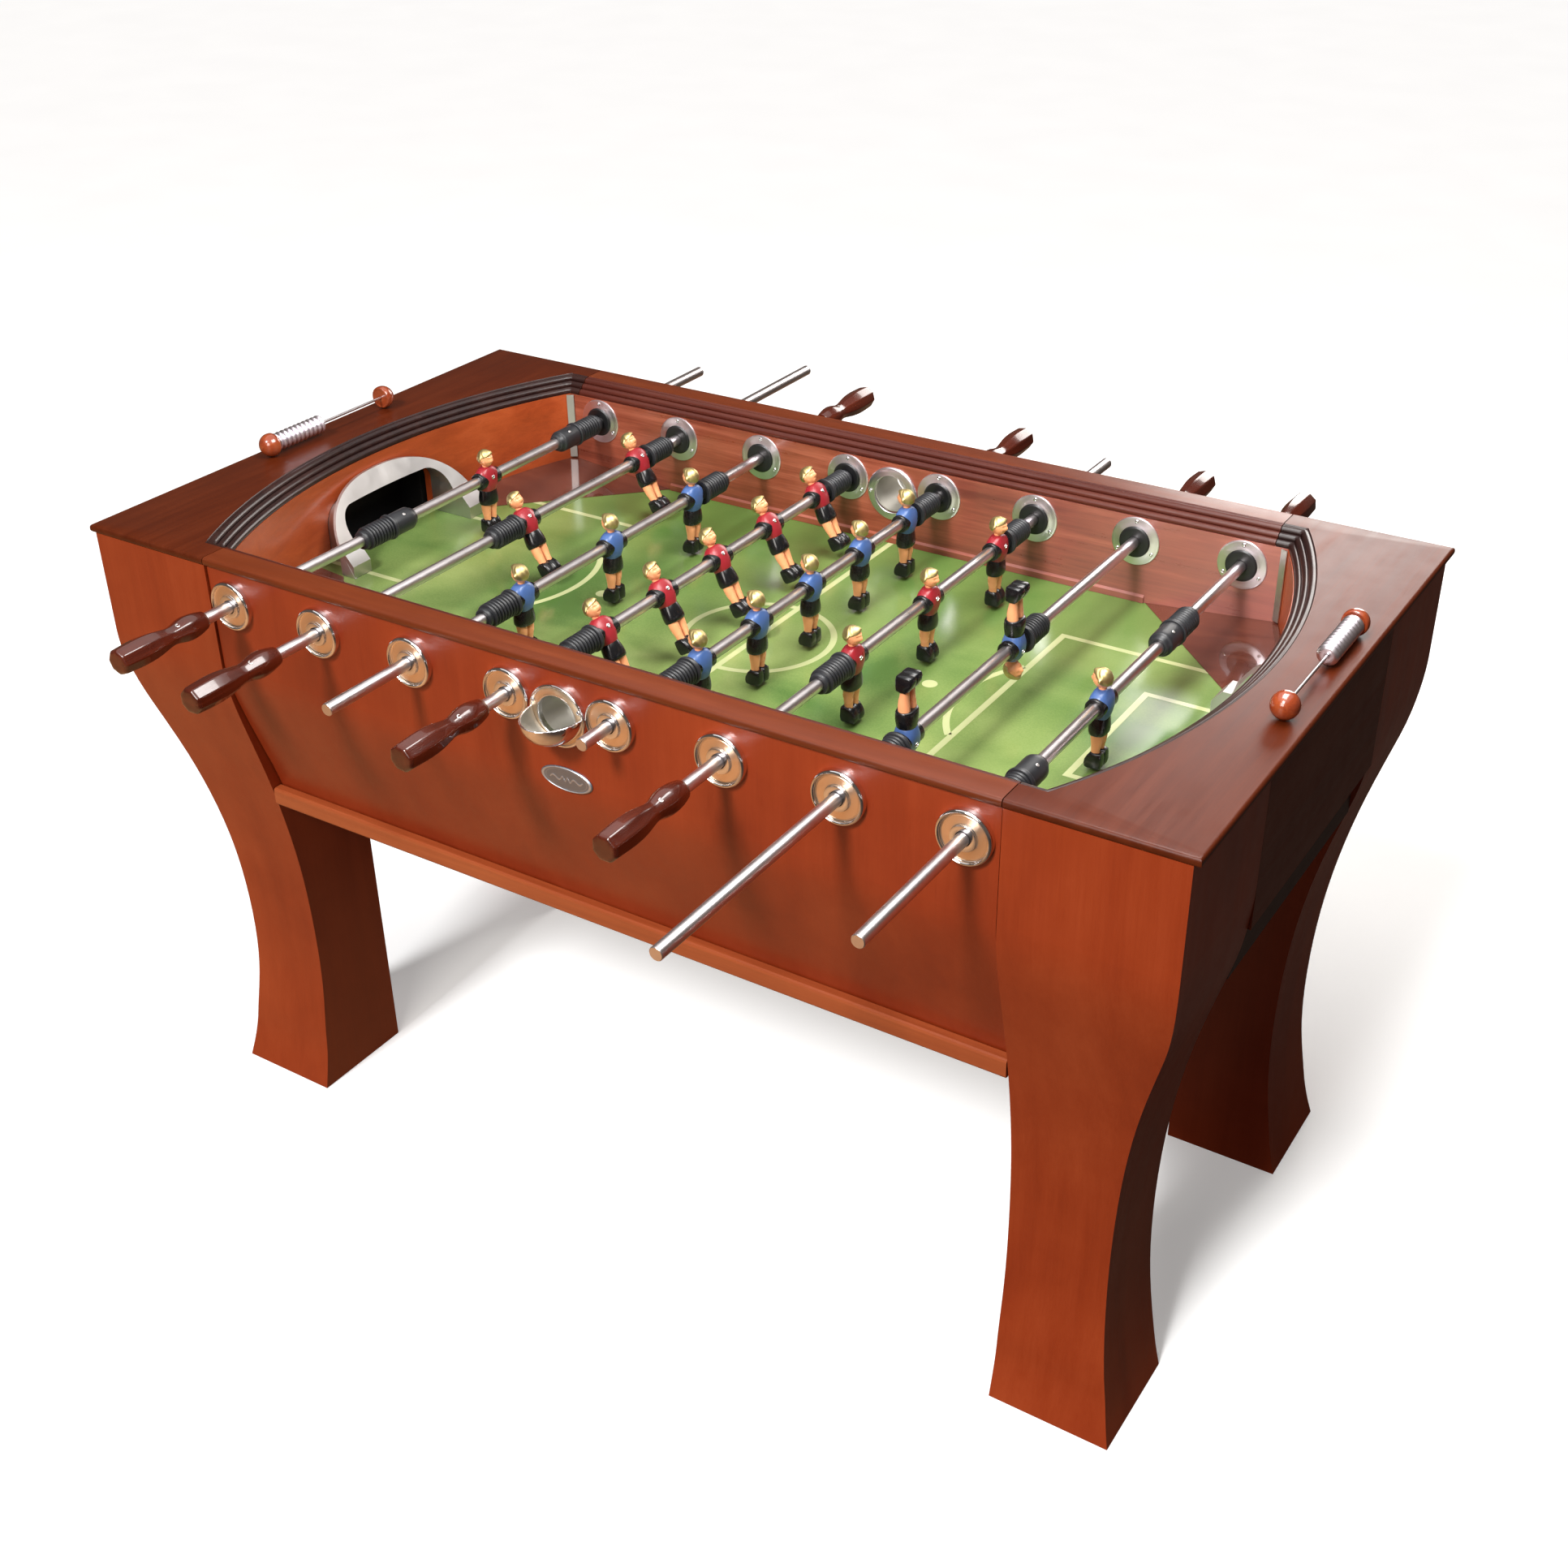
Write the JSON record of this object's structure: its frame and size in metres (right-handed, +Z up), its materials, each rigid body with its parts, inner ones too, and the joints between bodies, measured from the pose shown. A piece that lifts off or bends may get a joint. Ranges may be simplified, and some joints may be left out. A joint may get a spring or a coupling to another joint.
{
  "type": "foosball table",
  "caption": "Free-standing foosball table: curved-leg wooden cabinet, green field between curved end walls, sliding and spinning rods with kicking figures, bead scorers and goals.",
  "frame": {"origin": "middle of the footprint, on the floor", "axes": "+X along the length of the table towards the right-hand goal, +Y across it from the near side to the far side, +Z up"},
  "size_m": [1.55, 1.474, 0.9363],
  "materials": {
    "top_wood": "cherry-stained veneer, satin lacquer",
    "cabinet_wood": "cherry-stained veneer, satin lacquer",
    "dark_wood": "dark stained wood",
    "cherry_gloss": "turned cherry, gloss lacquer",
    "field": "printed laminate, gloss",
    "silver_metal": "satin cast metal",
    "chrome": "polished chrome",
    "steel": "bright steel",
    "black_plastic": "moulded, matt",
    "nylon": "moulded nylon",
    "ball_plastic": "gloss, lightly scuffed",
    "figure_red": "painted moulded plastic",
    "figure_blue": "painted moulded plastic",
    "rubber": "ribbed moulded rubber",
    "handle": "turned cherry with eight flats, gloss lacquer"
  },
  "bodies": {
    "cabinet": {"side_tops": "top_wood", "side_aprons": "cabinet_wood", "side_walls": "cabinet_wood", "end_tops": "top_wood", "end_walls": "cabinet_wood", "end_panels": "cabinet_wood", "end_rails": "dark_wood", "leg_near_left": "cabinet_wood", "leg_near_right": "cabinet_wood", "leg_far_left": "cabinet_wood", "leg_far_right": "cabinet_wood", "playfield": "field", "cabinet_bottom": "dark_wood", "corner_ramps": "cabinet_wood", "corner_strips": "silver_metal", "goal_frames": "silver_metal", "goal_boxes": "black_plastic", "ball_entries": "chrome", "bearing_flanges": "chrome", "bearing_bushes": "nylon", "score_rods": "steel", "score_balls": "cherry_gloss", "bottom_trims": "dark_wood", "badge": "silver_metal", "screws": "chrome"},
    "ball": {"ball": "ball_plastic"},
    "beads_left": {"beads_left": "chrome"},
    "beads_right": {"beads_right": "chrome"},
    "stops_1": {"bumpers_1": "rubber"},
    "rod_1": {"rod_1": "steel", "players_1": "figure_red", "handle_1": "handle"},
    "stops_2": {"bumpers_2": "rubber"},
    "rod_2": {"rod_2": "steel", "players_2": "figure_red", "handle_2": "handle"},
    "stops_3": {"bumpers_3": "rubber"},
    "rod_3": {"rod_3": "steel", "players_3": "figure_blue", "handle_3": "handle"},
    "stops_4": {"bumpers_4": "rubber"},
    "rod_4": {"rod_4": "steel", "players_4": "figure_red", "handle_4": "handle"},
    "stops_5": {"bumpers_5": "rubber"},
    "rod_5": {"rod_5": "steel", "players_5": "figure_blue", "handle_5": "handle"},
    "stops_6": {"bumpers_6": "rubber"},
    "rod_6": {"rod_6": "steel", "players_6": "figure_red", "handle_6": "handle"},
    "stops_7": {"bumpers_7": "rubber"},
    "rod_7": {"rod_7": "steel", "players_7": "figure_blue", "handle_7": "handle"},
    "stops_8": {"bumpers_8": "rubber"},
    "rod_8": {"rod_8": "steel", "players_8": "figure_blue", "handle_8": "handle"}
  },
  "joints": [
    {"name": "slide_1", "type": "slide", "parent": "cabinet", "child": "stops_1", "axis": [0, 1, 0], "range_m": [-0.1675, 0.0035]},
    {"name": "spin_1", "type": "hinge", "parent": "stops_1", "child": "rod_1", "pos_m": [-0.525, 0, 0.8454], "axis": [0, 1, 0], "continuous": true},
    {"name": "slide_2", "type": "slide", "parent": "cabinet", "child": "stops_2", "axis": [0, 1, 0], "range_m": [-0.2595, 0.0235]},
    {"name": "spin_2", "type": "hinge", "parent": "stops_2", "child": "rod_2", "pos_m": [-0.375, 0, 0.8454], "axis": [0, 1, 0], "continuous": true},
    {"name": "slide_3", "type": "slide", "parent": "cabinet", "child": "stops_3", "axis": [0, 1, 0], "range_m": [-0.0665, 0.0965]},
    {"name": "spin_3", "type": "hinge", "parent": "stops_3", "child": "rod_3", "pos_m": [-0.225, 0, 0.8454], "axis": [0, 1, 0], "continuous": true},
    {"name": "slide_4", "type": "slide", "parent": "cabinet", "child": "stops_4", "axis": [0, 1, 0], "range_m": [-0.0385, 0.0005]},
    {"name": "spin_4", "type": "hinge", "parent": "stops_4", "child": "rod_4", "pos_m": [-0.075, 0, 0.8454], "axis": [0, 1, 0], "continuous": true},
    {"name": "slide_5", "type": "slide", "parent": "cabinet", "child": "stops_5", "axis": [0, 1, 0], "range_m": [-0.0295, 0.0095]},
    {"name": "spin_5", "type": "hinge", "parent": "stops_5", "child": "rod_5", "pos_m": [0.075, 0, 0.8454], "axis": [0, 1, 0], "continuous": true},
    {"name": "slide_6", "type": "slide", "parent": "cabinet", "child": "stops_6", "axis": [0, 1, 0], "range_m": [-0.1335, 0.0295]},
    {"name": "spin_6", "type": "hinge", "parent": "stops_6", "child": "rod_6", "pos_m": [0.225, 0, 0.8454], "axis": [0, 1, 0], "continuous": true},
    {"name": "slide_7", "type": "slide", "parent": "cabinet", "child": "stops_7", "axis": [0, 1, 0], "range_m": [-0.0015, 0.2815]},
    {"name": "spin_7", "type": "hinge", "parent": "stops_7", "child": "rod_7", "pos_m": [0.375, 0, 0.8454], "axis": [0, 1, 0], "continuous": true},
    {"name": "slide_8", "type": "slide", "parent": "cabinet", "child": "stops_8", "axis": [0, 1, 0], "range_m": [-0.0005, 0.1705]},
    {"name": "spin_8", "type": "hinge", "parent": "stops_8", "child": "rod_8", "pos_m": [0.525, 0, 0.8454], "axis": [0, 1, 0], "continuous": true},
    {"name": "score_left", "type": "slide", "parent": "cabinet", "child": "beads_left", "axis": [0, 1, 0], "range_m": [0, 0.1244]},
    {"name": "score_right", "type": "slide", "parent": "cabinet", "child": "beads_right", "axis": [0, 1, 0], "range_m": [-0.1244, 0]},
    {"name": "ball_lift", "type": "slide", "parent": "cabinet", "child": "ball", "axis": [0, 0, 1], "range_m": [0, 0.18]}
  ]
}
